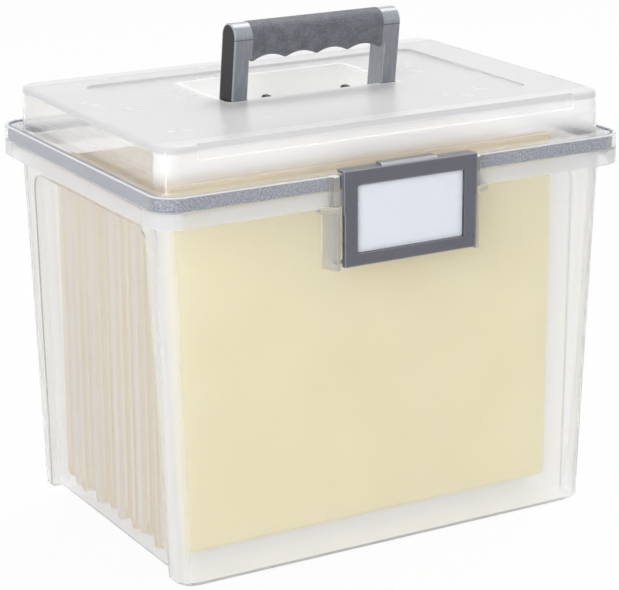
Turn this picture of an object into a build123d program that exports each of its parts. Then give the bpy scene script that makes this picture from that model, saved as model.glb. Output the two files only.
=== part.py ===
"""A portable file box: a flared see-through tub for hanging folders, a hinged lid with a seal
and a fold-down handle, and a front latch that frames a card.

Millimetres. X runs along the box, the front faces -Y, Z is up, and the origin lies under the
middle of the box, on the surface it stands on.
"""

import os
from math import atan, degrees, sin

from build123d import *

os.makedirs("parts", exist_ok=True)

# ---------------------------------------------------------------- driving dimensions
rim_length = 355.0
rim_depth = 256.0
rim_top = 267.5

# Walls and fits
tub_wall = 2.0
floor_thickness = 2.5
lid_wall = 1.8
press_gap = 0.02
running_gap = 0.06

# Tub
base_side_inset = 16.5  # from the rim's end to the tub's foot
base_front_inset = 14.0  # from the rim's front to the tub's foot
base_corner = 15.0
flare = 0.032  # how far a side leans out for each millimetre of height
foot_bevel = 2.5

# End recesses between the corner posts
recess_depth = 7.5
recess_below_skirt = 9.0
recess_corner = 12.0
post_width_foot = 19.0
post_width_top = 34.0

# Rim: a wall above the shelf and a skirt below it
rim_corner = 18.0
rim_wall = 2.2
rim_bevel = 0.6
shelf_below_rim = 10.0
shelf_thickness = 2.0
skirt_height = 20.5  # the whole band, from the skirt's edge to the top of the rim

# Lid
lid_side_inset = 10.5  # from the rim's end to the lid's top edge
lid_front_inset = 15.0
lid_rise = 28.5  # above the rim
lid_corner = 12.0
lid_draft = 0.045
lid_edge_round = 3.0
flange_below_rim = 0.8
flange_thickness = 2.2
panel_side_inset = 35.0
panel_front_inset = 37.0
panel_back_inset = 32.0
panel_corner = 9.0
panel_drop = 1.5
rear_drop = 0.6

# Grip ledge pressed into the lid's front edge
ledge_end_inset = 24.0
ledge_height = 10.3
ledge_step = 4.5
ledge_upper_depth = 2.6
ledge_lower_depth = 1.0

# Seal
seal_gap = 0.4
seal_lift = 0.3
seal_fin = 1.6
seal_base = 4.4
seal_below_rim = 0.3

# Handle and its pocket
pivot_below_lid = 12.0
handle_lean = 7.9  # the handle rests leaning forward against its stop
handle_reach = 63.8  # from the pivot to the top of the handle
handle_span = 128.8
leg_depth = 18.9
leg_width = 11.2
leg_bevel = 0.5
pocket_side_gap = 2.0
pocket_front_gap = 2.3
pocket_back_gap = 2.5
pocket_floor_gap = 0.8
pocket_corner = 3.0
tongue_depth = 3.3  # the panel reaches this far back between the legs
tongue_gap = 1.2
core_height = 14.0
core_depth = 10.0
core_corner = 2.0
collar_length = 2.2
grip_depth = 19.4
grip_height = 25.2
grip_top_round = 8.8
grip_bevel = 2.0
grip_gap = 0.1
scallop_count = 4
scallop_margin = 2.3
scallop_rise = 3.5
cusp_round = 4.0
cap_width = 16.6
cap_thickness = 1.5
cap_above_pivot = 4.0
handle_pin_radius = 2.2
handle_pin_seat = 8.5
handle_boss_radius = 5.0
handle_boss_length = 5.0
clip_spread = 31.2
clip_length = 5.6
clip_depth = 5.0
clip_height = 2.4
clip_setback = 1.1  # behind the handle's axis
clip_below_panel = 1.1

# Latch, sized to show a card of 89 by 51
card_length = 89.0
card_height = 51.0
card_thickness = 0.3
cover_thickness = 0.4
backing_thickness = 1.2
layer_gap = 0.05
window_side_overlap = 4.0  # how much of the card the frame hides at each side
window_end_overlap = 3.0
window_drop = 1.1  # the window's middle lies this much below the card's
window_corner = 1.5
latch_side_margin = 5.5
latch_top_margin = 5.9
latch_above_rim = 3.5
latch_before_rim = 7.0
latch_plate = 2.0
latch_side = 2.0
latch_side_depth = 3.6
latch_edge_round = 0.6
latch_shoulder = 0.7
latch_shoulder_height = 28.0
hook_thickness = 2.1
hook_reach = 10.7
hook_ramp = 1.6
hump_length = 42.0
hump_height = 1.4
latch_pin_radius = 1.5
latch_pin_setback = 4.8  # from the front of the latch to its pin
latch_pin_seat = 2.4
latch_barrel_radius = 3.2
latch_barrel_inset = 3.5  # the barrel ends this far inside the frame's sides
barrel_gap = 0.1

# Housing that the latch turns in
cheek_gap = 1.0
cheek_nose = 2.8  # width of a cheek at its front edge
cheek_slant = 0.47  # how far its outer side spreads for each millimetre back
cheek_below_pin = 5.3
cheek_setback = 2.5  # from the front of the latch
cheek_skin = 1.6
cheek_hollow_above_pin = 2.2
pillar_width = 3.8
pillar_before_rim = 3.0
lip_width = 12.0
lip_setback = 1.7
lip_thickness = 3.5
lip_overlap = 1.0

# Rear hinges
hinge_spread = 95.0
hinge_behind_rim = 7.0
hinge_above_rim = 1.0
ear_radius = 3.7
ear_thickness = 4.0
ear_below_rim = 15.5
knuckle_radius = 3.1
knuckle_length = 12.0
knuckle_side_gap = 0.5
arm_lift = 0.7
hinge_pin_radius = 1.5

# Hanging folders
folder_count = 15
folder_side_gap = 3.0
folder_front_gap = 34.0  # from the tub's foot at the front to the first folder
folder_back_gap = 24.6
folder_thickness = 7.0
folder_sheet = 0.8
folder_fold = 2.4
folder_below_rim = 17.5
folder_top_spread = 3.0
front_folder_below_rim = 5.5
folder_foot = 8.0
folder_foot_spread = 3.2
folder_hook_reach = 14.5
folder_hook_height = 6.0
folder_hook_gap = 0.1

# ---------------------------------------------------------------- worked out from them
flare_angle = degrees(atan(flare))
base_length = rim_length - 2 * base_side_inset
base_depth = rim_depth - 2 * base_front_inset
shelf_top = rim_top - shelf_below_rim
skirt_bottom = rim_top - skirt_height
recess_top = skirt_bottom - recess_below_skirt
hook_shelf = recess_top + tub_wall

lid_draft_angle = degrees(atan(lid_draft))
lid_length = rim_length - 2 * lid_side_inset
lid_depth = rim_depth - 2 * lid_front_inset
lid_top = rim_top + lid_rise
flange_top = rim_top - flange_below_rim
flange_bottom = flange_top - flange_thickness
seal_bottom = shelf_top + seal_lift
seal_top = rim_top - seal_below_rim
seal_length = rim_length - 2 * (rim_wall + seal_gap)
seal_depth = rim_depth - 2 * (rim_wall + seal_gap)
seal_corner = rim_corner - rim_wall - seal_gap
flange_length = seal_length - 2 * (seal_fin + press_gap)
flange_depth = seal_depth - 2 * (seal_fin + press_gap)
flange_corner = seal_corner - seal_fin - press_gap
lid_base_length = lid_length + 2 * lid_draft * (lid_top - flange_bottom)
lid_base_depth = lid_depth + 2 * lid_draft * (lid_top - flange_bottom)
lid_base_corner = lid_corner + lid_draft * (lid_top - flange_bottom)
panel_length = lid_length - 2 * panel_side_inset
panel_front = panel_front_inset - lid_depth / 2
panel_back = lid_depth / 2 - panel_back_inset
panel_top = lid_top - panel_drop
ceiling = panel_top - rear_drop - lid_wall
ledge_length = lid_length - 2 * ledge_end_inset
ledge_bottom = lid_top - ledge_height
ledge_line = lid_top - ledge_step

leg_radius = leg_depth / 2
handle_pivot_z = lid_top - pivot_below_lid
handle_axis = Axis((0, 0, handle_pivot_z), (1, 0, 0))
handle_top = handle_pivot_z + handle_reach
pocket_half_length = handle_span / 2 + pocket_side_gap
pocket_front = -leg_radius - pocket_front_gap
tongue_half = handle_span / 2 - leg_width - tongue_gap
tongue_back = pocket_front + tongue_depth
pocket_back = handle_reach + pocket_back_gap
pocket_floor = handle_pivot_z - leg_radius - pocket_floor_gap
boss_half = pocket_half_length + handle_boss_length
clip_top = panel_top - clip_below_panel
clip_foot = clip_top - clip_height
core_half = handle_span / 2 - leg_width
grip_half = core_half - collar_length - grip_gap
grip_bottom = handle_top - grip_height
collar_bottom = grip_bottom + grip_bevel
scallop_pitch = 2 * (grip_half - scallop_margin) / scallop_count

window_length = card_length - 2 * window_side_overlap
window_height = card_height - 2 * window_end_overlap
latch_half = card_length / 2 + latch_side_margin
latch_front = rim_depth / 2 + latch_before_rim
latch_top = rim_top + latch_above_rim
card_middle = latch_top - latch_top_margin - card_height / 2
window_middle = card_middle - window_drop
hook_bottom = latch_top - hook_thickness
hook_back = hook_reach - latch_front
latch_pin_y = latch_pin_setback - latch_front
latch_pin_z = card_middle - card_height / 2 - barrel_gap - latch_barrel_radius
latch_bottom = latch_pin_z - latch_barrel_radius
shoulder_half = latch_half + latch_shoulder

cheek_inner = latch_half + latch_shoulder + cheek_gap
cheek_front = latch_front - cheek_setback
cheek_bottom = latch_pin_z - cheek_below_pin
cheek_hollow_bottom = latch_pin_z + cheek_hollow_above_pin
latch_pin_half = cheek_inner + latch_pin_seat
lip_front = latch_front - lip_setback
lip_bottom = skirt_bottom - lip_thickness

hinge_back = rim_depth / 2 + hinge_behind_rim
hinge_axis_y = hinge_back - ear_radius
hinge_axis_z = rim_top + hinge_above_rim
ear_foot = rim_top - ear_below_rim
ear_offset = knuckle_length / 2 + knuckle_side_gap
hinge_pin_half = ear_offset + ear_thickness

folder_length = base_length - 2 * (recess_depth + tub_wall + folder_side_gap)
folder_front = folder_front_gap - base_depth / 2
folder_room = base_depth - folder_front_gap - folder_back_gap
folder_pitch = (folder_room - folder_thickness) / (folder_count - 1)
folder_top = rim_top - folder_below_rim


def rounded_block(length, depth, corner, bottom, top, taper=0.0):
    """A block with rounded upright corners, leaning in by taper degrees."""
    with BuildPart() as block:
        with BuildSketch(Plane.XY.offset(bottom)):
            RectangleRounded(length, depth, corner)
        extrude(amount=top - bottom, taper=taper)
    return block.part


def rounded_ring(length, depth, corner, width, bottom, top):
    """An upright rounded ring, width thick all the way round."""
    with BuildPart() as ring:
        with BuildSketch(Plane.XY.offset(bottom)):
            RectangleRounded(length, depth, corner)
            RectangleRounded(length - 2 * width, depth - 2 * width, corner - width, mode=Mode.SUBTRACT)
        extrude(amount=top - bottom)
    return ring.part


def span_block(x_range, y_range, z_range):
    """A plain block between two corners."""
    with BuildPart() as block:
        with Locations((x_range[0], y_range[0], z_range[0])):
            Box(
                x_range[1] - x_range[0],
                y_range[1] - y_range[0],
                z_range[1] - z_range[0],
                align=(Align.MIN, Align.MIN, Align.MIN),
            )
    return block.part


def cross_rod(radius, x_range, y, z):
    """A round rod along X."""
    with BuildPart() as rod:
        with BuildSketch(Plane.YZ.offset(x_range[0])):
            with Locations((y, z)):
                Circle(radius)
        extrude(amount=x_range[1] - x_range[0])
    return rod.part


def export_leaning(piece, name):
    """Turn an upright piece of the handle to its leaning rest, and write it."""
    leaning = piece.rotate(handle_axis, handle_lean)
    leaning.label = name
    export_step(leaning, "parts/" + name + ".step")


# ---------------------------------------------------------------- tub
def end_recess(grow):
    """The two end recesses; grown by the wall, they shape the inside of the tub."""
    foot_half = base_depth / 2 - post_width_foot + grow
    top_half = base_depth / 2 + flare * recess_top - post_width_top + grow
    with BuildPart() as recess:
        with BuildSketch(Plane.YZ) as side_view:
            with BuildLine():
                Polyline(
                    (-foot_half, 0),
                    (foot_half, 0),
                    (top_half, recess_top + grow),
                    (-top_half, recess_top + grow),
                    close=True,
                )
            make_face()
            fillet(side_view.vertices().group_by(Axis.Y)[-1], recess_corner + grow)
        extrude(amount=rim_length / 2, both=True)
        with BuildSketch(Plane.XY):
            Rectangle(base_length - 2 * (recess_depth + grow), rim_depth)
        extrude(amount=rim_top, taper=-flare_angle, mode=Mode.SUBTRACT)
    return recess.part


def cheek_plan(side, skin):
    """Plan of a cheek: straight beside the latch, spreading towards the tub; inset by skin."""
    front = 2 * skin - cheek_front
    back = skin - base_depth / 2
    inner = cheek_inner + skin
    outer = cheek_inner + cheek_nose - skin
    return [
        (side * inner, front),
        (side * (outer + cheek_slant * (front + cheek_front)), front),
        (side * (outer + cheek_slant * (back + cheek_front)), back),
        (side * inner, back),
    ]


def lip_plan(side):
    """Plan of the lip over a cheek, which tapers off towards the tub."""
    return [
        (side * cheek_inner, -lip_front),
        (side * (cheek_inner + cheek_nose), -lip_front),
        (side * (cheek_inner + lip_width), -rim_depth / 2),
        (side * (cheek_inner + lip_width), -base_depth / 2),
        (side * cheek_inner, -base_depth / 2),
    ]


with BuildPart() as tub_inside:
    add(
        rounded_block(
            base_length + 2 * flare * floor_thickness - 2 * tub_wall,
            base_depth + 2 * flare * floor_thickness - 2 * tub_wall,
            base_corner + flare * floor_thickness - tub_wall,
            floor_thickness,
            rim_top,
            taper=-flare_angle,
        )
    )
    add(end_recess(tub_wall), mode=Mode.SUBTRACT)

with BuildPart() as box_body:
    add(rounded_block(base_length, base_depth, base_corner, 0, shelf_top, taper=-flare_angle))
    add(end_recess(0), mode=Mode.SUBTRACT)
    chamfer(box_body.edges().group_by(Axis.Z)[0], foot_bevel)

    # Rim wall and skirt in one upright band, carried by the shelf
    add(rounded_ring(rim_length, rim_depth, rim_corner, rim_wall, skirt_bottom, rim_top))
    add(rounded_block(rim_length, rim_depth, rim_corner, shelf_top - shelf_thickness, shelf_top))
    chamfer(box_body.faces().sort_by(Axis.Z)[-1].outer_wire().edges(), rim_bevel)

    # Front housing: a cheek, a lip and a pillar on each side of the latch
    for side in (-1, 1):
        with BuildSketch(Plane.XY.offset(cheek_bottom)):
            Polygon(*cheek_plan(side, 0), align=None)
        extrude(amount=skirt_bottom - cheek_bottom)
        with BuildSketch(Plane.XY.offset(lip_bottom)):
            Polygon(*lip_plan(side), align=None)
        extrude(amount=lip_thickness + lip_overlap)
        pillar_x = sorted((side * cheek_inner, side * (cheek_inner + pillar_width)))
        pillar_y = (-rim_depth / 2 - pillar_before_rim, -rim_depth / 2 + rim_wall)
        add(span_block(pillar_x, pillar_y, (lip_bottom, rim_top)))

    # Two ears for each rear hinge
    for side in (-1, 1):
        for ear_side in (-1, 1):
            ear_middle = side * hinge_spread + ear_side * (ear_offset + ear_thickness / 2)
            with BuildSketch(Plane.YZ.offset(ear_middle)):
                with BuildLine():
                    Line((rim_depth / 2 - rim_wall, ear_foot), (rim_depth / 2, ear_foot))
                    Line((rim_depth / 2, ear_foot), (hinge_back, hinge_axis_z))
                    ThreePointArc(
                        (hinge_back, hinge_axis_z),
                        (hinge_axis_y, hinge_axis_z + ear_radius),
                        (hinge_axis_y - ear_radius, hinge_axis_z),
                    )
                    Line((hinge_axis_y - ear_radius, hinge_axis_z), (rim_depth / 2 - rim_wall, rim_top))
                    Line((rim_depth / 2 - rim_wall, rim_top), (rim_depth / 2 - rim_wall, ear_foot))
                make_face()
            extrude(amount=ear_thickness / 2, both=True)

    # The inside, which also reaches into the cheeks
    add(tub_inside.part, mode=Mode.SUBTRACT)
    for side in (-1, 1):
        with BuildSketch(Plane.XY.offset(cheek_hollow_bottom)):
            Polygon(*cheek_plan(side, cheek_skin), align=None)
        extrude(amount=lip_bottom - cheek_skin - cheek_hollow_bottom, mode=Mode.SUBTRACT)

    # Holes for the pins
    for side in (-1, 1):
        pin_x = (side * hinge_spread - hinge_pin_half, side * hinge_spread + hinge_pin_half)
        add(cross_rod(hinge_pin_radius + press_gap, pin_x, hinge_axis_y, hinge_axis_z), mode=Mode.SUBTRACT)
    latch_pin_hole = cross_rod(
        latch_pin_radius + press_gap, (-latch_pin_half, latch_pin_half), latch_pin_y, latch_pin_z
    )
    add(latch_pin_hole, mode=Mode.SUBTRACT)

box_body.part.label = "box_body"
export_step(box_body.part, "parts/box_body.step")

# ---------------------------------------------------------------- seal
with BuildPart() as seal_ring:
    add(rounded_ring(seal_length, seal_depth, seal_corner, seal_base, seal_bottom, flange_bottom - press_gap))
    add(rounded_ring(seal_length, seal_depth, seal_corner, seal_fin, seal_bottom, seal_top))
seal_ring.part.label = "seal_ring"
export_step(seal_ring.part, "parts/seal_ring.step")

# ---------------------------------------------------------------- lid
def pocket_plan(grow):
    """Plan of the handle pocket, with the panel's tongue between the legs; grown by grow."""
    with Locations((0, (pocket_front + pocket_back) / 2)):
        RectangleRounded(
            2 * (pocket_half_length + grow),
            pocket_back - pocket_front + 2 * grow,
            pocket_corner + grow,
        )
    with Locations((0, pocket_front - grow)):
        Rectangle(
            2 * (tongue_half - grow),
            tongue_depth,
            align=(Align.CENTER, Align.MIN),
            mode=Mode.SUBTRACT,
        )


def clip_block(gap, bottom, top):
    """The two clip posts between two heights, each face held back by gap."""
    with BuildPart() as posts:
        with BuildSketch(Plane.XY.offset(bottom)):
            for side in (-1, 1):
                with Locations((side * clip_spread, clip_setback)):
                    Rectangle(clip_length - 2 * gap, clip_depth - 2 * gap)
        extrude(amount=top - bottom)
    return posts.part


with BuildPart() as lid_inside:
    add(
        rounded_block(
            lid_base_length - 2 * lid_wall,
            lid_base_depth - 2 * lid_wall,
            lid_base_corner - lid_wall,
            flange_bottom,
            ceiling,
            taper=lid_draft_angle,
        )
    )
    # the wall stays whole behind the grip ledge
    add(
        span_block(
            (-ledge_length / 2 - lid_wall, ledge_length / 2 + lid_wall),
            (-lid_base_depth / 2, -lid_depth / 2 + ledge_upper_depth + lid_wall),
            (ledge_bottom - lid_wall, lid_top),
        ),
        mode=Mode.SUBTRACT,
    )

with BuildPart() as lid_shell:
    add(
        rounded_block(
            lid_base_length,
            lid_base_depth,
            lid_base_corner,
            flange_bottom,
            lid_top,
            taper=lid_draft_angle,
        )
    )
    fillet(lid_shell.edges().group_by(Axis.Z)[-1], lid_edge_round)
    for ledge_depth, ledge_range in (
        (ledge_upper_depth, (ledge_line, lid_top)),
        (ledge_lower_depth, (ledge_bottom, ledge_line)),
    ):
        add(
            span_block(
                (-ledge_length / 2, ledge_length / 2),
                (-lid_base_depth / 2, -lid_depth / 2 + ledge_depth),
                ledge_range,
            ),
            mode=Mode.SUBTRACT,
        )
    add(rounded_block(flange_length, flange_depth, flange_corner, flange_bottom, flange_top))
    add(lid_inside.part, mode=Mode.SUBTRACT)

    # Panel pressed into the top, a shade lower behind the handle
    with BuildSketch(Plane.XY.offset(panel_top)):
        with Locations((0, (panel_back + panel_front) / 2)):
            RectangleRounded(panel_length, panel_back - panel_front, panel_corner)
    extrude(amount=panel_drop, mode=Mode.SUBTRACT)
    with BuildSketch(Plane.XY.offset(panel_top - rear_drop)) as rear_panel:
        with Locations((0, (panel_back + tongue_back) / 2)):
            Rectangle(panel_length, panel_back - tongue_back)
        fillet(rear_panel.vertices().group_by(Axis.Y)[-1], panel_corner)
    extrude(amount=rear_drop, mode=Mode.SUBTRACT)

    # Handle pocket hung under the panel, with a boss for each handle pin
    with BuildSketch(Plane.XY.offset(pocket_floor - lid_wall)):
        pocket_plan(lid_wall)
    extrude(amount=ceiling - pocket_floor + lid_wall)
    add(cross_rod(handle_boss_radius, (-boss_half, boss_half), 0, handle_pivot_z))
    with BuildSketch(Plane.XY.offset(pocket_floor)):
        pocket_plan(0)
    extrude(amount=lid_top - pocket_floor, mode=Mode.SUBTRACT)
    add(
        cross_rod(handle_pin_radius + running_gap, (-boss_half, boss_half), 0, handle_pivot_z),
        mode=Mode.SUBTRACT,
    )

    # Two posts in the pocket, which carry the dark clip tips
    add(clip_block(0, pocket_floor, clip_foot))

    # Hinge arms that reach back over the rim
    for side in (-1, 1):
        with BuildSketch(Plane.YZ.offset(side * hinge_spread)):
            with BuildLine():
                Polyline(
                    (lid_depth / 2, hinge_axis_z + knuckle_radius),
                    (lid_depth / 2, flange_top),
                    (flange_depth / 2, flange_top),
                    (flange_depth / 2, rim_top + arm_lift),
                    (hinge_axis_y, rim_top + arm_lift),
                    (hinge_axis_y, hinge_axis_z + knuckle_radius),
                    close=True,
                )
            make_face()
            with Locations((hinge_axis_y, hinge_axis_z)):
                Circle(knuckle_radius)
                Circle(hinge_pin_radius + running_gap, mode=Mode.SUBTRACT)
        extrude(amount=knuckle_length / 2, both=True)

lid_shell.part.label = "lid_shell"
export_step(lid_shell.part, "parts/lid_shell.step")

with BuildPart() as pocket_clips:
    add(clip_block(0, clip_foot + press_gap, clip_top))
    chamfer(pocket_clips.edges().group_by(Axis.Z)[-1].filter_by(Axis.Y), clip_height / 2)
pocket_clips.part.label = "pocket_clips"
export_step(pocket_clips.part, "parts/pocket_clips.step")

# ---------------------------------------------------------------- handle
def upright_slot(width, foot, top):
    """The side view of a leg or its cap: an upright slot between two heights."""
    with Locations((0, (foot + top) / 2)):
        SlotOverall(top - foot, width, rotation=90)


with BuildPart() as handle_core:
    with BuildSketch(Plane.YZ.offset(-core_half)):
        with Locations((0, handle_top - leg_radius)):
            RectangleRounded(core_depth, core_height, core_corner)
    extrude(amount=2 * core_half)

with BuildPart() as handle_frame:
    for side in (-1, 1):
        with BuildSketch(Plane.YZ.offset(side * (handle_span / 2 - leg_width / 2))):
            upright_slot(leg_depth, handle_pivot_z - leg_radius, handle_top)
        extrude(amount=leg_width / 2, both=True)
    chamfer(handle_frame.faces().sort_by(Axis.X)[0].edges(), leg_bevel)
    chamfer(handle_frame.faces().sort_by(Axis.X)[-1].edges(), leg_bevel)
    for side in (-1, 1):
        with BuildSketch(Plane.YZ.offset(side * core_half)):
            with Locations((0, handle_top - leg_radius)):
                Circle(leg_radius)
            with Locations((0, collar_bottom)):
                Rectangle(leg_depth, handle_top - leg_radius - collar_bottom, align=(Align.CENTER, Align.MIN))
        extrude(amount=-side * collar_length)
    for side in (-1, 1):
        with BuildSketch(Plane.YZ.offset(side * handle_span / 2)):
            upright_slot(cap_width, handle_pivot_z + cap_above_pivot, handle_top - (leg_depth - cap_width) / 2)
        extrude(amount=-side * cap_thickness, mode=Mode.SUBTRACT)
    add(handle_core.part)
    for side in (-1, 1):
        seat_x = sorted((side * (handle_span / 2 - handle_pin_seat), side * handle_span / 2))
        add(
            cross_rod(handle_pin_radius + press_gap, seat_x, 0, handle_pivot_z),
            mode=Mode.SUBTRACT,
        )
export_leaning(handle_frame.part, "handle_frame")

for side, side_name in ((-1, "left"), (1, "right")):
    with BuildPart() as handle_cap:
        with BuildSketch(Plane.YZ.offset(side * handle_span / 2)):
            upright_slot(
                cap_width - 2 * press_gap,
                handle_pivot_z + cap_above_pivot + press_gap,
                handle_top - (leg_depth - cap_width) / 2 - press_gap,
            )
        extrude(amount=-side * (cap_thickness - press_gap))
    export_leaning(handle_cap.part, "handle_cap_" + side_name)

    pin_inner = side * (handle_span / 2 - handle_pin_seat + press_gap)
    pin_outer = side * (pocket_half_length + handle_boss_length)
    with BuildPart() as handle_pin:
        add(cross_rod(handle_pin_radius, sorted((pin_inner, pin_outer)), 0, handle_pivot_z))
    export_leaning(handle_pin.part, "handle_pin_" + side_name)

with BuildPart() as handle_grip:
    cusps = [(index - scallop_count / 2) * scallop_pitch for index in range(scallop_count + 1)]
    with BuildSketch(Plane.XZ.offset(-grip_depth / 2)) as front_view:
        with BuildLine():
            Line((-grip_half, grip_bottom), (cusps[0], grip_bottom))
            for start, end in zip(cusps, cusps[1:]):
                ThreePointArc(
                    (start, grip_bottom),
                    ((start + end) / 2, grip_bottom + scallop_rise),
                    (end, grip_bottom),
                )
            Line((cusps[-1], grip_bottom), (grip_half, grip_bottom))
            Polyline(
                (grip_half, grip_bottom),
                (grip_half, handle_top),
                (-grip_half, handle_top),
                (-grip_half, grip_bottom),
            )
        make_face()
        inner_cusps = front_view.vertices().filter_by_position(Axis.X, cusps[0] + 1, cusps[-1] - 1)
        fillet(inner_cusps, cusp_round)
    extrude(amount=grip_depth)
    fillet(handle_grip.edges().filter_by(Axis.X).group_by(Axis.Z)[-1], grip_top_round)
    grip_underside = handle_grip.edges().filter_by_position(Axis.Z, grip_bottom - 1, grip_bottom + scallop_rise + 1)
    chamfer(grip_underside.filter_by(Axis.Y, reverse=True), grip_bevel)
    add(handle_core.part, mode=Mode.SUBTRACT)
export_leaning(handle_grip.part, "handle_grip")

# ---------------------------------------------------------------- latch
with BuildPart() as latch_frame:
    add(span_block((-latch_half, latch_half), (-latch_front, latch_plate - latch_front), (latch_bottom, latch_top)))
    add(
        span_block(
            (-shoulder_half, shoulder_half),
            (-latch_front, latch_plate - latch_front),
            (latch_top - latch_shoulder_height, latch_top),
        )
    )
    for side in (-1, 1):
        side_x = sorted((side * latch_half, side * (latch_half - latch_side)))
        side_y = (-latch_front, latch_side_depth - latch_front)
        add(span_block(side_x, side_y, (latch_bottom, latch_top)))
    fillet(latch_frame.edges().filter_by(Axis.Z).group_by(Axis.Y)[0], latch_edge_round)
    with BuildSketch(Plane.YZ.offset(-latch_half)):
        with BuildLine():
            Polyline(
                (-latch_front, hook_bottom),
                (hook_back - hook_ramp, hook_bottom),
                (hook_back, latch_top),
                (-latch_front, latch_top),
                close=True,
            )
        make_face()
    extrude(amount=2 * latch_half)
    with BuildSketch(Plane.YZ.offset(-hump_length / 2)):
        with BuildLine():
            Polyline(
                (-latch_front + latch_plate, latch_top),
                (hook_back, latch_top),
                (hook_back, latch_top + hump_height),
                (-latch_front + latch_plate + 2 * hump_height, latch_top + hump_height),
                close=True,
            )
        make_face()
    extrude(amount=hump_length)
    barrel_half = latch_half - latch_barrel_inset
    add(cross_rod(latch_barrel_radius, (-barrel_half, barrel_half), latch_pin_y, latch_pin_z))
    with BuildSketch(Plane.XZ.offset(latch_front)):
        with Locations((0, window_middle)):
            RectangleRounded(window_length, window_height, window_corner)
    extrude(amount=-latch_plate, mode=Mode.SUBTRACT)
    add(
        cross_rod(latch_pin_radius + running_gap, (-latch_half, latch_half), latch_pin_y, latch_pin_z),
        mode=Mode.SUBTRACT,
    )
latch_frame.part.label = "latch_frame"
export_step(latch_frame.part, "parts/latch_frame.step")

# Window cover and card lie behind the window, held by a backing plate that snaps into the frame
cover_front = latch_plate - latch_front + layer_gap
card_front = cover_front + cover_thickness + layer_gap
backing_front = card_front + card_thickness + layer_gap
backing_half = latch_half - latch_side - layer_gap
for layer_name, layer_half, layer_front, layer_thickness in (
    ("window_cover", card_length / 2, cover_front, cover_thickness),
    ("card", card_length / 2, card_front, card_thickness),
    ("card_backing", backing_half, backing_front, backing_thickness),
):
    with BuildPart() as layer:
        add(
            span_block(
                (-layer_half, layer_half),
                (layer_front, layer_front + layer_thickness),
                (card_middle - card_height / 2, card_middle + card_height / 2),
            )
        )
    layer.part.label = layer_name
    export_step(layer.part, "parts/" + layer_name + ".step")

# ---------------------------------------------------------------- pins of the box
with BuildPart() as latch_pin:
    add(cross_rod(latch_pin_radius, (-latch_pin_half, latch_pin_half), latch_pin_y, latch_pin_z))
latch_pin.part.label = "latch_pin"
export_step(latch_pin.part, "parts/latch_pin.step")

for side, side_name in ((-1, "left"), (1, "right")):
    pin_x = (side * hinge_spread - hinge_pin_half, side * hinge_spread + hinge_pin_half)
    with BuildPart() as hinge_pin:
        add(cross_rod(hinge_pin_radius, pin_x, hinge_axis_y, hinge_axis_z))
    hinge_pin.part.label = "hinge_pin_" + side_name
    export_step(hinge_pin.part, "parts/hinge_pin_" + side_name + ".step")

# ---------------------------------------------------------------- hanging folders
for index in range(folder_count):
    front = folder_front + index * folder_pitch
    back = front + folder_thickness
    foot = folder_foot + folder_foot_spread * sin(2.4 * index)
    top = folder_top + folder_top_spread * sin(1.7 * index)
    if index == 0:
        top = rim_top - front_folder_below_rim
    outline = [
        (front, top),
        (front, foot + folder_fold),
        (front + folder_fold, foot),
        (back - folder_fold, foot),
        (back, foot + folder_fold),
        (back, top),
    ]
    with BuildPart() as folder:
        with BuildSketch(Plane.YZ):
            with BuildLine() as fold:
                Polyline(*outline)
                offset(amount=folder_sheet, side=Side.LEFT)
            make_face()
        extrude(amount=folder_length / 2, both=True)
        with BuildSketch(Plane.YZ):
            for sheet in (front, back - folder_sheet):
                with Locations((sheet, hook_shelf + folder_hook_gap)):
                    Rectangle(
                        folder_sheet,
                        folder_hook_height,
                        align=(Align.MIN, Align.MIN),
                    )
        extrude(amount=folder_length / 2 + folder_hook_reach, both=True)
    folder_name = "folder_" + str(index + 1).zfill(2)
    folder.part.label = folder_name
    export_step(folder.part, "parts/" + folder_name + ".step")
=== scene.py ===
# %% [markdown]
# # A portable file box
#
# This lesson dresses a file box of see-through plastic: a tub full of hanging folders, a hinged
# lid with a carrying handle, and a front latch that frames a blank card. The solids and their
# joints come from the frame. Each cell adds one finish or one piece and prints what it made.

# %% Load the frame
import math
import random

import bpy
from mathutils import Matrix, Vector


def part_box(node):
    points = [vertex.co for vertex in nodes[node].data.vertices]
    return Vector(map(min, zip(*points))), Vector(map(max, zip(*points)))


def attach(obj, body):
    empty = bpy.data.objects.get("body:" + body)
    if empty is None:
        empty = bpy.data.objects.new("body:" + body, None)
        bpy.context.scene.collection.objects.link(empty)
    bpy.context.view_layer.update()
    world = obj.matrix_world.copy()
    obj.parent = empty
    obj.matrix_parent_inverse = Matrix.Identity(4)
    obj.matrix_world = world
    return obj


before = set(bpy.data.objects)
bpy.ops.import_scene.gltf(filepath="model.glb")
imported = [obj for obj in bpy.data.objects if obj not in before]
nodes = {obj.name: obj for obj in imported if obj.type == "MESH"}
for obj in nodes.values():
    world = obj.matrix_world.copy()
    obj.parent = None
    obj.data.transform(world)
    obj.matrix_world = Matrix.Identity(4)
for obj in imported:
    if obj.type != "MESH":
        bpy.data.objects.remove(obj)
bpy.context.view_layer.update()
bpy.ops.object.select_all(action="DESELECT")

# %% [markdown]
# ## The camera
#
# A long lens, turned to the left end and a little above the lid, gives the calm perspective of a
# product picture. It is placed by two angles, a slight roll and a position, because an aim by
# eye could not keep the edges where they belong.

# %% Camera
turn = math.radians(29.7876)
look_down = math.radians(17.0923)
roll = math.radians(-0.2999)
camera_place = Vector((-0.7823, -1.3681, 0.6308))
focal_pixels = 2336.2
image_width = 619

forward = Vector(
    (
        math.sin(turn) * math.cos(look_down),
        math.cos(turn) * math.cos(look_down),
        -math.sin(look_down),
    )
)
level_right = Vector((math.cos(turn), -math.sin(turn), 0.0))
level_up = level_right.cross(forward)
right = math.cos(roll) * level_right + math.sin(roll) * level_up
up = math.cos(roll) * level_up - math.sin(roll) * level_right

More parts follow.
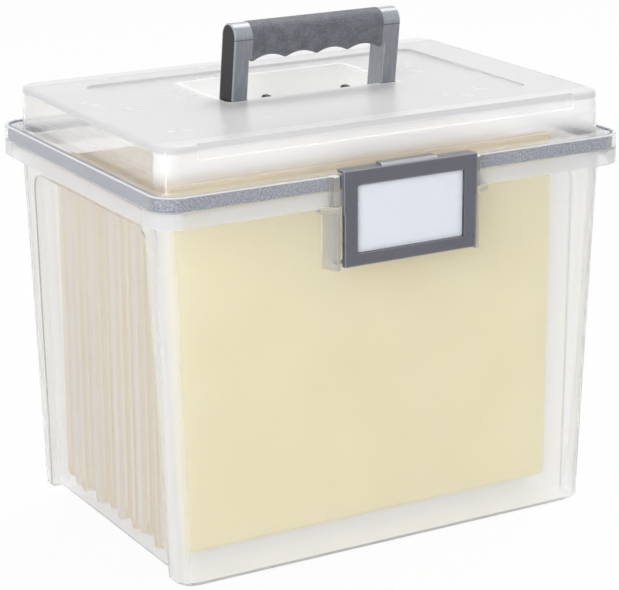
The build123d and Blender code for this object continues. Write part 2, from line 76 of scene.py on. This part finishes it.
camera_data = bpy.data.cameras.new("camera")
camera_data.lens = focal_pixels * camera_data.sensor_width / image_width
camera = bpy.data.objects.new("camera", camera_data)
bpy.context.scene.collection.objects.link(camera)
bpy.context.scene.camera = camera
facing = Matrix((right, up, -forward)).transposed().to_4x4()
camera.matrix_world = Matrix.Translation(camera_place) @ facing
print("lens", round(camera_data.lens, 2), "mm")


# %% [markdown]
# ## Shader maths in Python
#
# A pattern is a sum: a mask times a colour, plus a little noise. Placing a Math node by hand for
# each sign soon hides the idea, so one small class wraps a socket and lets `1 - mask * 0.5`
# place those nodes. Every other node comes from one method, `add`.

# %% Wires and node trees
class Wire:
    """The value on one socket, which can be added, multiplied and compared like a number."""

    def __init__(self, nodes_of, socket):
        self.nodes_of = nodes_of
        self.socket = socket

    def maths(self, operation, first, second=0.0):
        node = self.nodes_of.add("ShaderNodeMath", {"operation": operation}, {0: first, 1: second})
        return self.nodes_of.take(node)

    def __add__(self, other):
        return self.maths("ADD", self, other)

    def __sub__(self, other):
        return self.maths("SUBTRACT", self, other)

    def __rsub__(self, other):
        return self.maths("SUBTRACT", other, self)

    def __mul__(self, other):
        return self.maths("MULTIPLY", self, other)

    def __gt__(self, other):
        return self.maths("GREATER_THAN", self, other)

    def __lt__(self, other):
        return self.maths("LESS_THAN", self, other)

    def __abs__(self):
        return self.maths("ABSOLUTE", self)

    __radd__ = __add__
    __rmul__ = __mul__


class Nodes:
    """A node tree, and one way to add any node to it."""

    def __init__(self, tree):
        self.tree = tree

    def add(self, kind, settings=None, sockets=None):
        """Add a node, choose its settings, then set or link its sockets."""
        node = self.tree.nodes.new(kind)
        for name, value in (settings or {}).items():
            setattr(node, name, value)
        for name, value in (sockets or {}).items():
            self.plug(node.inputs[name], value)
        return node

    def plug(self, socket, value):
        """Link a wire to a socket, or write a plain value on it."""
        if isinstance(value, Wire):
            self.tree.links.new(value.socket, socket)
        elif socket.type == "RGBA":
            socket.default_value = (*value, 1.0)
        else:
            socket.default_value = value

    def take(self, node, output=0):
        return Wire(self, node.outputs[output])


class Finish(Nodes):
    """A material, with short ways to lay a pattern over its Principled shader."""

    def __init__(self, name, **sockets):
        self.material = bpy.data.materials.new(name)
        self.material.use_nodes = True
        super().__init__(self.material.node_tree)
        self.skin = self.tree.nodes["Principled BSDF"]
        self.end = self.tree.nodes["Material Output"]
        self.set(**sockets)

    def set(self, **sockets):
        """Set or link sockets of the Principled shader, with _ for a space in a name."""
        for name, value in sockets.items():
            self.plug(self.skin.inputs[name.replace("_", " ")], value)

    def place(self):
        """Object coordinates, in metres."""
        return self.take(self.add("ShaderNodeTexCoord"), "Object")

    def axes(self):
        """The three object coordinates, one wire each."""
        split = self.add("ShaderNodeSeparateXYZ", None, {0: self.place()})
        return [self.take(split, index) for index in range(3)]

    def noise(self, size, detail=2.0, stretch=(1.0, 1.0, 1.0)):
        """Cloudy noise from 0 to 1, with blobs about size metres wide."""
        spread = self.add("ShaderNodeMapping", None, {"Vector": self.place(), "Scale": stretch})
        cloud = self.add(
            "ShaderNodeTexNoise",
            None,
            {"Vector": self.take(spread), "Scale": 1.0 / size, "Detail": detail},
        )
        return self.take(cloud)

    def ease(self, value, low, high):
        """0 below low, 1 above high, and a smooth slope between."""
        ramp = self.add(
            "ShaderNodeMapRange",
            {"interpolation_type": "SMOOTHSTEP"},
            {"Value": value, "From Min": low, "From Max": high},
        )
        return self.take(ramp)

    def blend(self, share, first, second):
        """A colour that goes from first to second as share goes from 0 to 1."""
        mixer = self.add("ShaderNodeMix", {"data_type": "RGBA"}, {0: share, 6: first, 7: second})
        return self.take(mixer, 2)

    def within(self, value, low, high):
        """1 between low and high, else 0."""
        return (value > low) * (value < high)

    def either(self, first, second):
        """The larger of two masks."""
        return first.maths("MAXIMUM", first, second)

    def edges(self, width):
        """1 along sharp edges, where a rounded normal leans away from the true one."""
        rounded = self.add("ShaderNodeBevel", {"samples": 4}, {"Radius": width})
        true = self.add("ShaderNodeNewGeometry")
        both = {0: self.take(rounded), 1: self.take(true, "True Normal")}
        alike = self.add("ShaderNodeVectorMath", {"operation": "DOT_PRODUCT"}, both)
        return self.ease(1.0 - abs(self.take(alike, "Value")), 0.003, 0.1)

    def relief(self, height, distance, strength=1.0):
        """A normal tilted by a height pattern, distance metres deep."""
        bump = self.add(
            "ShaderNodeBump", None, {"Height": height, "Distance": distance, "Strength": strength}
        )
        return self.take(bump)

    def end_with(self, shader):
        self.plug(self.end.inputs["Surface"], shader)

    def mix_shaders(self, share, first, second):
        """A shader that goes from first to second as share goes from 0 to 1."""
        mixer = self.add("ShaderNodeMixShader", None, {0: share, 1: first, 2: second})
        return self.take(mixer)

    def let_lamps_in(self, shader):
        """Let the lamps' light straight through, so that what is inside is lit."""
        rays = self.add("ShaderNodeLightPath")
        window = self.take(self.add("ShaderNodeBsdfTransparent"))
        self.end_with(self.mix_shaders(self.take(rays, "Is Shadow Ray"), shader, window))

    def wear(self, *names):
        """Give this finish to frame nodes."""
        for name in names:
            solid = nodes[name]
            solid.data.materials.clear()
            solid.data.materials.append(self.material)


print("shader helpers ready")

# %% [markdown]
# ## See-through plastic
#
# The tub and the lid are moulded in plastic with a little milk in it. Glass alone would look
# hard and empty, and a plain white would hide the folders. So two shaders are mixed on each
# surface, milky white and clear, and a pattern says how clear it is: less on a frosted wall,
# more on a polished one, and least along the edges, which carry painted highlights as pale lines.

# %% Milky and clear
def milky_plastic(finish, clearness, milk, blur):
    """Mix the finish's own white with a clear shader, as clear as clearness says."""
    finish.set(Base_Color=milk, Roughness=blur * 0.5 + 0.1)
    clear = finish.add(
        "ShaderNodeBsdfPrincipled",
        None,
        {
            "Base Color": (1.0, 1.0, 1.0),
            "Roughness": blur,
            "IOR": 1.3,
            "Transmission Weight": 1.0,
        },
    )
    mixed = finish.mix_shaders(clearness, finish.take(finish.skin), finish.take(clear))
    finish.let_lamps_in(mixed)


# %% [markdown]
# ## Tub
#
# The tub's walls are frosted and blur what stands away from them. The band round the rim is
# polished, so the seal shows clearly behind it, except at the two cheeks that hold the latch,
# which are thick. So are the four posts at the corners, and thick plastic is milkier. The
# cheeks' milk is greyed with painted shade from the latch, and the rim's top edge is a
# painted highlight.

# %% Tub
rim_low = 0.2570
rim_high = 0.2578
cheek_low = 0.0512
cheek_high = 0.0665
cheek_step = 0.0090
cheek_front = -0.122
tub_flare = 0.032
post_end = 0.1515
post_side = 0.0935
post_end_fade = 0.005
post_side_fade = 0.004
skirt_low = 0.2465
rim_edge = 0.2669
edge_light = 0.0007

tub = Finish("frosted tub plastic", IOR=1.4)
tub_x, tub_y, tub_z = tub.axes()
tub_cloud = tub.noise(0.045, 3.0, (1.0, 1.0, 0.5))
polished = tub.ease(tub_z, rim_low, rim_high)
cheek_reach = cheek_high - (tub_z > skirt_low) * cheek_step
cheek = (abs(tub_x) > cheek_low) * (abs(tub_x) < cheek_reach) * (tub_y < cheek_front)
post = tub.ease(abs(tub_x) - tub_z * tub_flare, post_end, post_end + post_end_fade)
post = post * tub.ease(abs(tub_y) - tub_z * tub_flare, post_side, post_side + post_side_fade)
post = post * (1.0 - polished)
# Painted highlight: the tub's sharp edges are made milkier and white, as pale lines.
tub_edge_highlight = tub.edges(edge_light)
skirt = tub.ease(tub_z, skirt_low, skirt_low + 0.001) * (1.0 - polished)
# Painted highlight: the rim's top edge is made milkier and white.
rim_top_highlight = tub.ease(tub_z, rim_edge, rim_edge + 0.0002)
thick_milk = cheek * 0.35 + post * 0.28 + skirt * 0.17
tub_milkiness = 0.18 + tub_edge_highlight * 0.4 + thick_milk + rim_top_highlight * 0.5
tub_clearness = 1.0 - tub_milkiness + polished * 0.1 - tub_cloud * 0.04
tub_blur = (1.0 - polished) * 0.11 + tub_cloud * 0.04 + 0.01
tub_white = tub.blend(tub_cloud, (0.95, 0.95, 0.945), (0.98, 0.98, 0.975))
tub_milk = tub.blend(skirt, tub_white, (0.87, 0.875, 0.885))
tub_milk = tub.blend(tub_edge_highlight, tub_milk, (1.0, 1.0, 1.0))
# Painted shade: the cheeks' milk is greyed where the latch shades them.
tub_milk = tub.blend(cheek * 0.9, tub_milk, (0.54, 0.525, 0.485))
tub_milk = tub.blend(rim_top_highlight, tub_milk, (1.0, 1.0, 1.0))
milky_plastic(tub, tub_clearness, tub_milk, tub_blur)
tub.wear("box_body")
print("tub wears", tub.material.name)

# %% [markdown]
# ## Lid
#
# The lid's foot is as clear as the rim. Its front and back walls grow milkier upwards, and its
# ends less so. The pressed panel and the handle's pocket are etched, and nearly closed to the
# eye. The panel's milk is greyed with painted shade where the top takes the strongest light. A
# pale line of painted highlight stands in the middle of each round corner, where both walls bend
# the light, and the lid's edges carry painted highlights too. A faint glow is painted light that
# brightens the handle's pocket and the long walls below the panel.

# %% Lid
wall_clear = 0.267
wall_milky = 0.283
long_wall = 0.098
end_wall = 0.150
wall_fade = 0.004
corner_offset = 0.054
corner_top = 0.2925
corner_solid = 0.0004
corner_fade = 0.0011
panel_low = 0.2905
panel_high = 0.2915
pocket_side = 0.0685
pocket_front = -0.014
pocket_back = 0.0685
# Strengths of the painted light that glows in the pocket and on the long walls.
pocket_painted_light = 0.05
wall_painted_light = 0.09

lid = Finish("clear lid plastic", IOR=1.4)
lid_x, lid_y, lid_z = lid.axes()
lid_cloud = lid.noise(0.035, 3.0)
on_top = lid.ease(lid_z, panel_low, panel_high)
in_pocket = (abs(lid_x) < pocket_side) * lid.within(lid_y, pocket_front, pocket_back)
on_long_wall = lid.ease(abs(lid_y), long_wall, long_wall + wall_fade)
on_end_wall = lid.ease(abs(lid_x), end_wall, end_wall + wall_fade)
up_wall = lid.ease(lid_z, wall_clear, wall_milky) * (on_long_wall * 0.36 + 0.18)
border = lid.either(on_long_wall, on_end_wall)
# Painted highlights: pale milky lines down the middle of each round corner and along the lid's
# edges.
off_corner = abs(abs(lid_x) - abs(lid_y) - corner_offset)
corner_highlight = 1.0 - lid.ease(off_corner, corner_solid, corner_fade)
corner_highlight = corner_highlight * on_long_wall * (lid_z < corner_top)
lid_edge_highlight = lid.either(lid.edges(0.0008) * lid.either(border, 1.0 - on_top), corner_highlight)
side_clearness = 0.84 + lid_cloud * 0.03 - up_wall - on_top * 0.3 - lid_edge_highlight * 0.4
lid_clearness = side_clearness * (1.0 - in_pocket * 0.85)
lid_blur = up_wall * 0.1 + on_top * 0.3 + lid_cloud * 0.03 + 0.01
lid_white = lid.blend(lid_cloud, (0.985, 0.985, 0.985), (1.0, 1.0, 1.0))
# Painted shade: the panel's milk is greyed where the top takes the strongest light.
lid_milk = lid.blend(on_top, lid_white, (0.80, 0.80, 0.81))
lid_milk = lid.blend(in_pocket, lid_milk, (0.99, 0.99, 0.98))
lid_milk = lid.blend(lid_edge_highlight, lid_milk, (1.0, 1.0, 1.0))
# Painted light: a faint glow brightens the handle's pocket and the long walls below the panel.
lid_painted_glow = in_pocket * pocket_painted_light + on_long_wall * (1.0 - on_top) * wall_painted_light
lid.set(Emission_Color=lid_painted_glow, Emission_Strength=1.0)
milky_plastic(lid, lid_clearness, lid_milk, lid_blur)
lid.wear("lid_shell")
print("lid wears", lid.material.name)

# %% [markdown]
# ## Seal
#
# The seal is a soft blue-grey ring with a fine speckle. It sits behind the clear rim, so it is
# darker than it will look. The speckle is a threshold on small noise, which costs two nodes.

# %% Seal
seal = Finish("blue grey seal", IOR=1.4)
speckle = seal.ease(seal.noise(0.0011, 1.0), 0.4, 0.65)
seal.set(
    Base_Color=seal.blend(speckle, (0.13, 0.15, 0.21), (0.37, 0.40, 0.46)),
    Roughness=speckle * 0.2 + 0.4,
    Normal=seal.relief(speckle, 0.00008, 0.5),
)
seal.wear("seal_ring")
print("seal speckled")

# %% [markdown]
# ## Handle
#
# The handle's frame is smooth, glossy grey plastic with faint streaks from the mould. Where each
# leg's rounded top meets its flat front a fine line shows, a shallow groove painted near-black
# as painted shade. Along the leaning leg that line is a constant height, which two numbers and
# the lean give, and above it the rounded top is painted paler, as painted light. A thin coat
# gives the gloss, and the edges are a little lighter with painted highlights.

# %% Handle frame
handle_lean = math.radians(7.9)
handle_pivot = 0.284
crease_height = 0.0544

frame_grey = Finish("grey handle plastic", IOR=1.5, Coat_Weight=1.0, Coat_Roughness=0.2)
frame_grey.set(Coat_IOR=1.7)
_, frame_y, frame_z = frame_grey.axes()
along_leg = (frame_z - handle_pivot) * math.cos(handle_lean) - frame_y * math.sin(handle_lean)
crease = 1.0 - frame_grey.ease(abs(along_leg - crease_height), 0.0001, 0.0006)
streaks = frame_grey.noise(0.003, 2.0, (1.0, 1.0, 0.06))
shade = frame_grey.blend(streaks, (0.19, 0.207, 0.24), (0.218, 0.236, 0.272))
# Painted light: the rounded top above the crease is painted paler.
painted_top_light = frame_grey.ease(along_leg, crease_height, crease_height + 0.004)
with_top_light = frame_grey.blend(painted_top_light * 0.5, shade, (0.40, 0.43, 0.48))
# Painted highlight: the frame's edges are lightened.
frame_edge_highlight = frame_grey.blend(frame_grey.edges(0.0012) * 0.7, with_top_light, (0.52, 0.55, 0.60))
frame_grey.set(
    # Painted shade: the crease line is darkened nearly to black, and a bump gives its groove.
    Base_Color=frame_grey.blend(crease * 0.85, frame_edge_highlight, (0.03, 0.033, 0.045)),
    Roughness=streaks * 0.1 + 0.22,
    Normal=frame_grey.relief(1.0 - crease, 0.0002),
)
frame_grey.wear("handle_frame")
print("handle frame streaked")

# %% [markdown]
# ## Grip
#
# The grip is a rubber sleeve with a leathery texture. Two sizes of noise make it: fine grain
# for the touch, and larger clouds for the wear that lightens it in patches.

# %% Grip
grip = Finish("dark grip rubber", IOR=1.45)
grain = grip.noise(0.0009, 3.0)
wear_patches = grip.noise(0.008, 2.0)
worn_grip = grip.ease(grain * 0.6 + wear_patches * 0.4, 0.35, 0.65)
grip.set(
    Base_Color=grip.blend(worn_grip, (0.11, 0.113, 0.13), (0.21, 0.216, 0.245)),
    Roughness=wear_patches * 0.2 + 0.45,
    Normal=grip.relief(grain, 0.00025, 0.8),
)
grip.wear("handle_grip")
print("grip textured")

# %% [markdown]
# ## Caps and clips
#
# Near-black plastic covers the handle's pivots and tips the two clips. A little gloss and a
# faint mottling keep it from looking like a hole.

# %% Caps
dark = Finish("near black plastic", IOR=1.35)
mottle = dark.noise(0.004, 3.0)
dark_tone = dark.blend(mottle, (0.018, 0.017, 0.019), (0.034, 0.032, 0.035))
dark.set(
    # Painted highlight: the edges are lightened a little.
    Base_Color=dark.blend(dark.edges(0.0004) * 0.25, dark_tone, (0.3, 0.3, 0.3)),
    Roughness=mottle * 0.2 + 0.35,
    Normal=dark.relief(dark.noise(0.0008), 0.00005, 0.5),
)
dark.wear("handle_cap_left", "handle_cap_right", "pocket_clips")
print("caps and clips darkened")

# %% [markdown]
# ## Latch
#
# The latch and the plate behind the card are glossy slate plastic with a fine grain. Its edges
# are lighter with painted highlights, and the window's inner walls are painted dark as painted
# shade.

# %% Latch
window_side = 0.0407
window_low = 0.2158
window_high = 0.2612

slate = Finish("slate latch plastic", IOR=1.5, Coat_Weight=0.6, Coat_Roughness=0.3)
slate.set(Coat_IOR=1.7)
slate_x, _, slate_z = slate.axes()
slate_cloud = slate.noise(0.02, 3.0)
# Painted shade: the window's inner walls are painted near-black.
window_painted_shade = slate.within(slate_x, -window_side, window_side)
window_painted_shade = window_painted_shade * slate.within(slate_z, window_low, window_high)
slate_tone = slate.blend(slate_cloud, (0.070, 0.074, 0.099), (0.091, 0.095, 0.124))
# Painted highlight: the latch's edges are lightened.
slate_edge_highlight = slate.blend(slate.edges(0.0013) * 0.8, slate_tone, (0.42, 0.44, 0.49))
slate.set(
    Base_Color=slate.blend(window_painted_shade, slate_edge_highlight, (0.015, 0.016, 0.02)),
    Roughness=slate_cloud * 0.15 + 0.22,
    Normal=slate.relief(slate.noise(0.0006, 1.0), 0.00003, 0.5),
)
slate.wear("latch_frame", "card_backing")
print("latch grained")

# %% [markdown]
# ## Window and card
#
# A clear sheet covers the card. The card is bare stock, pale and slightly blue, with a soft
# paper tooth.

# %% Window and card
clear_sheet = Finish(
    "clear window sheet", Base_Color=(1.0, 1.0, 1.0), IOR=1.15, Transmission_Weight=1.0
)
clear_sheet.set(Roughness=clear_sheet.noise(0.03) * 0.03 + 0.02)
clear_sheet.let_lamps_in(clear_sheet.take(clear_sheet.skin))
clear_sheet.wear("window_cover")

card = Finish("blank card stock", IOR=1.4)
card_tooth = card.noise(0.0015, 3.0)
card.set(
    Base_Color=card.blend(card_tooth, (0.72, 0.75, 0.82), (0.77, 0.80, 0.87)),
    Roughness=card_tooth * 0.1 + 0.5,
    Normal=card.relief(card_tooth, 0.00002, 0.4),
)
card.wear("card")
print("card left blank")

# %% [markdown]
# ## Pins
#
# Every hinge turns on a drawn steel pin. Streaks along the pin are what drawing leaves.

# %% Pins
steel = Finish("drawn steel", Metallic=1.0)
drawn = steel.noise(0.0006, 2.0, (0.05, 1.0, 1.0))
steel.set(
    Base_Color=steel.blend(drawn, (0.46, 0.46, 0.48), (0.62, 0.62, 0.64)),
    Roughness=drawn * 0.2 + 0.2,
)
steel.wear("latch_pin", "hinge_pin_left", "hinge_pin_right", "handle_pin_left", "handle_pin_right")
print("pins of steel")

# %% [markdown]
# ## Folders
#
# The hanging folders are yellow card stock. The one in front is the palest, and those behind
# vary a little, as folders do that have been in use for a while. Their tops, which hands touch,
# are browner. Card has fibres, so long noise runs through the colour and the relief.

# %% Folders
handled_from = 0.240
handled_full = 0.251


def folder_finish(name, pale, deep):
    """Card stock between two close yellows, with a soft fibre and a handled top edge."""
    finish = Finish(name, IOR=1.4)
    fibre = finish.noise(0.0012, 3.0, (0.4, 1.0, 1.0))
    blotch = finish.noise(0.06, 2.0)
    stock = finish.blend(finish.ease(fibre * 0.4 + blotch * 0.6, 0.3, 0.7), pale, deep)
    handled = finish.ease(finish.axes()[2] + fibre * 0.004, handled_from, handled_full)
    finish.set(
        Base_Color=finish.blend(handled * 0.75, stock, (0.80, 0.62, 0.36)),
        Roughness=fibre * 0.15 + 0.6,
        Normal=finish.relief(fibre, 0.00006, 0.5),
    )
    return finish


folder_names = sorted(name for name in nodes if name.startswith("folder_"))
front_yellow = folder_finish("pale yellow folder", (0.96, 0.86, 0.46), (0.92, 0.80, 0.39))
used_yellow = folder_finish("yellow folder", (0.90, 0.74, 0.42), (0.84, 0.66, 0.36))
buff = folder_finish("buff folder", (0.93, 0.83, 0.70), (0.87, 0.76, 0.62))
front_yellow.wear(folder_names[0])
for index, name in enumerate(folder_names[1:]):
    (used_yellow if index % 3 else buff).wear(name)
print(len(folder_names), "folders in three yellows")

# %% [markdown]
# ## File covers
#
# Each hanging folder holds a few plain file covers with papers in them, some white and some
# buff. A single block would give one clean edge, and what shows through the end of the tub is a
# ragged row of edges. So one cover is modelled as a thin slab with softened corners, and copies
# of it are set side by side in each folder, each a little higher or further out than the next.

# %% File covers
cover_length = 0.2925
cover_height = 0.222
cover_thickness = 0.00052
cover_corner = 0.0025
covers_per_folder = 8
most_slide = 0.002
most_lift = 0.006
folder_sheet = 0.0008
fold_clearance = 0.0024

paper = Finish("bundled paper", IOR=1.4)
sheet_edges = paper.noise(0.0007, 1.0, (0.0, 1.0, 0.0))
buff_share = paper.ease(sheet_edges, 0.42, 0.58)
paper.set(
    Base_Color=paper.blend(buff_share, (0.97, 0.96, 0.95), (0.88, 0.78, 0.66)),
    Roughness=sheet_edges * 0.1 + 0.65,
    Normal=paper.relief(sheet_edges, 0.0001, 0.6),
)


def file_cover():
    """One thin cover with its papers, standing on edge, with its corners softened."""
    bpy.ops.mesh.primitive_cube_add(size=1.0)
    cover = bpy.context.object
    cover.scale = (cover_length, cover_thickness, cover_height)
    bpy.ops.object.transform_apply(scale=True)
    bpy.ops.object.mode_set(mode="EDIT")
    bpy.ops.mesh.select_mode(type="EDGE")
    bpy.ops.mesh.select_all(action="DESELECT")
    bpy.ops.object.mode_set(mode="OBJECT")
    for edge in cover.data.edges:
        ends = [cover.data.vertices[index].co for index in edge.vertices]
        edge.select = abs(ends[0].y - ends[1].y) > cover_thickness / 2
    bpy.ops.object.mode_set(mode="EDIT")
    bpy.ops.mesh.bevel(offset=cover_corner, segments=3)
    bpy.ops.object.mode_set(mode="OBJECT")
    cover.select_set(False)
    return cover


first_cover = file_cover()
chance = random.Random(7)
for name in folder_names:
    low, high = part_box(name)
    room = high[1] - low[1] - 2 * folder_sheet
    step = room / covers_per_folder
    copies = []
    for index in range(covers_per_folder):
        copy = first_cover.copy()
        copy.data = first_cover.data.copy()
        bpy.context.scene.collection.objects.link(copy)
        slide = chance.uniform(-most_slide, most_slide)
        lift = chance.uniform(0.0, most_lift)
        copy.location = (
            slide,
            low[1] + folder_sheet + step * (index + 0.5),
            low[2] + folder_sheet + fold_clearance + lift + cover_height / 2,
        )
        copies.append(copy)
    for copy in copies:
        copy.select_set(True)
    bpy.context.view_layer.objects.active = copies[0]
    bpy.ops.object.join()
    stack = bpy.context.object
    stack.name = name.replace("folder", "papers")
    bpy.ops.object.transform_apply(location=True, rotation=True, scale=True)
    stack.data.materials.append(paper.material)
    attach(stack, "box")
    stack.select_set(False)
bpy.data.objects.remove(first_cover)
print(len(folder_names), "stacks of", covers_per_folder, "file covers")

# %% [markdown]
# ## Stage
#
# The floor and the world show plain white to the camera and in reflections, and light the box
# more softly than that, so that white stays white and the plastic keeps its greys. A share of
# the floor is plain matt, which keeps the shadow of the box.

# %% Floor and world
def shows_white(nodes_of):
    """1 for what the camera sees, straight, mirrored or through clear plastic."""
    rays = nodes_of.add("ShaderNodeLightPath")
    seen = nodes_of.take(rays, "Is Camera Ray")
    for way in ("Is Transmission Ray", "Is Glossy Ray"):
        seen = seen.maths("MAXIMUM", seen, nodes_of.take(rays, way))
    return seen


floor_size = 12.0
floor_gap = 0.0005
floor_glow_share = 0.93
room_light = 0.6

bpy.ops.mesh.primitive_plane_add(size=floor_size, location=(0, 0, -floor_gap))
floor = bpy.context.object
floor.name = "floor"
floor_finish = Finish("pale floor", Base_Color=(0.95, 0.95, 0.95), Roughness=0.8)
floor_glow = floor_finish.add("ShaderNodeEmission", None, {"Strength": 1.0})
floor_matt = floor_finish.take(floor_finish.skin)
glow_share = shows_white(floor_finish) * floor_glow_share
floor_finish.end_with(
    floor_finish.mix_shaders(glow_share, floor_matt, floor_finish.take(floor_glow))
)
floor.data.materials.append(floor_finish.material)
floor.select_set(False)

world = bpy.data.worlds.new("studio")
world.use_nodes = True
bpy.context.scene.world = world
sky = Nodes(world.node_tree)
background = world.node_tree.nodes["Background"]
sky.plug(background.inputs["Color"], (1.0, 1.0, 1.0))
sky.plug(background.inputs["Strength"], shows_white(sky) * (1.0 - room_light) + room_light)


# %% Lamps
def soft_lamp(name, place, aim, size, power):
    """A square soft box that looks at a point."""
    data = bpy.data.lights.new(name, "AREA")
    data.shape = "SQUARE"
    data.size = size
    data.energy = power
    lamp = bpy.data.objects.new(name, data)
    bpy.context.scene.collection.objects.link(lamp)
    lamp.location = place
    lamp.rotation_euler = (Vector(aim) - Vector(place)).to_track_quat("-Z", "Y").to_euler()


middle = (0.0, 0.0, 0.15)
soft_lamp("overhead", (0.7, 0.5, 2.2), middle, 1.3, 20.0)
soft_lamp("front_left", (-2.0, -1.6, 1.1), middle, 1.2, 17.0)
bpy.context.scene.view_settings.view_transform = "Standard"
print("lamps and floor set")
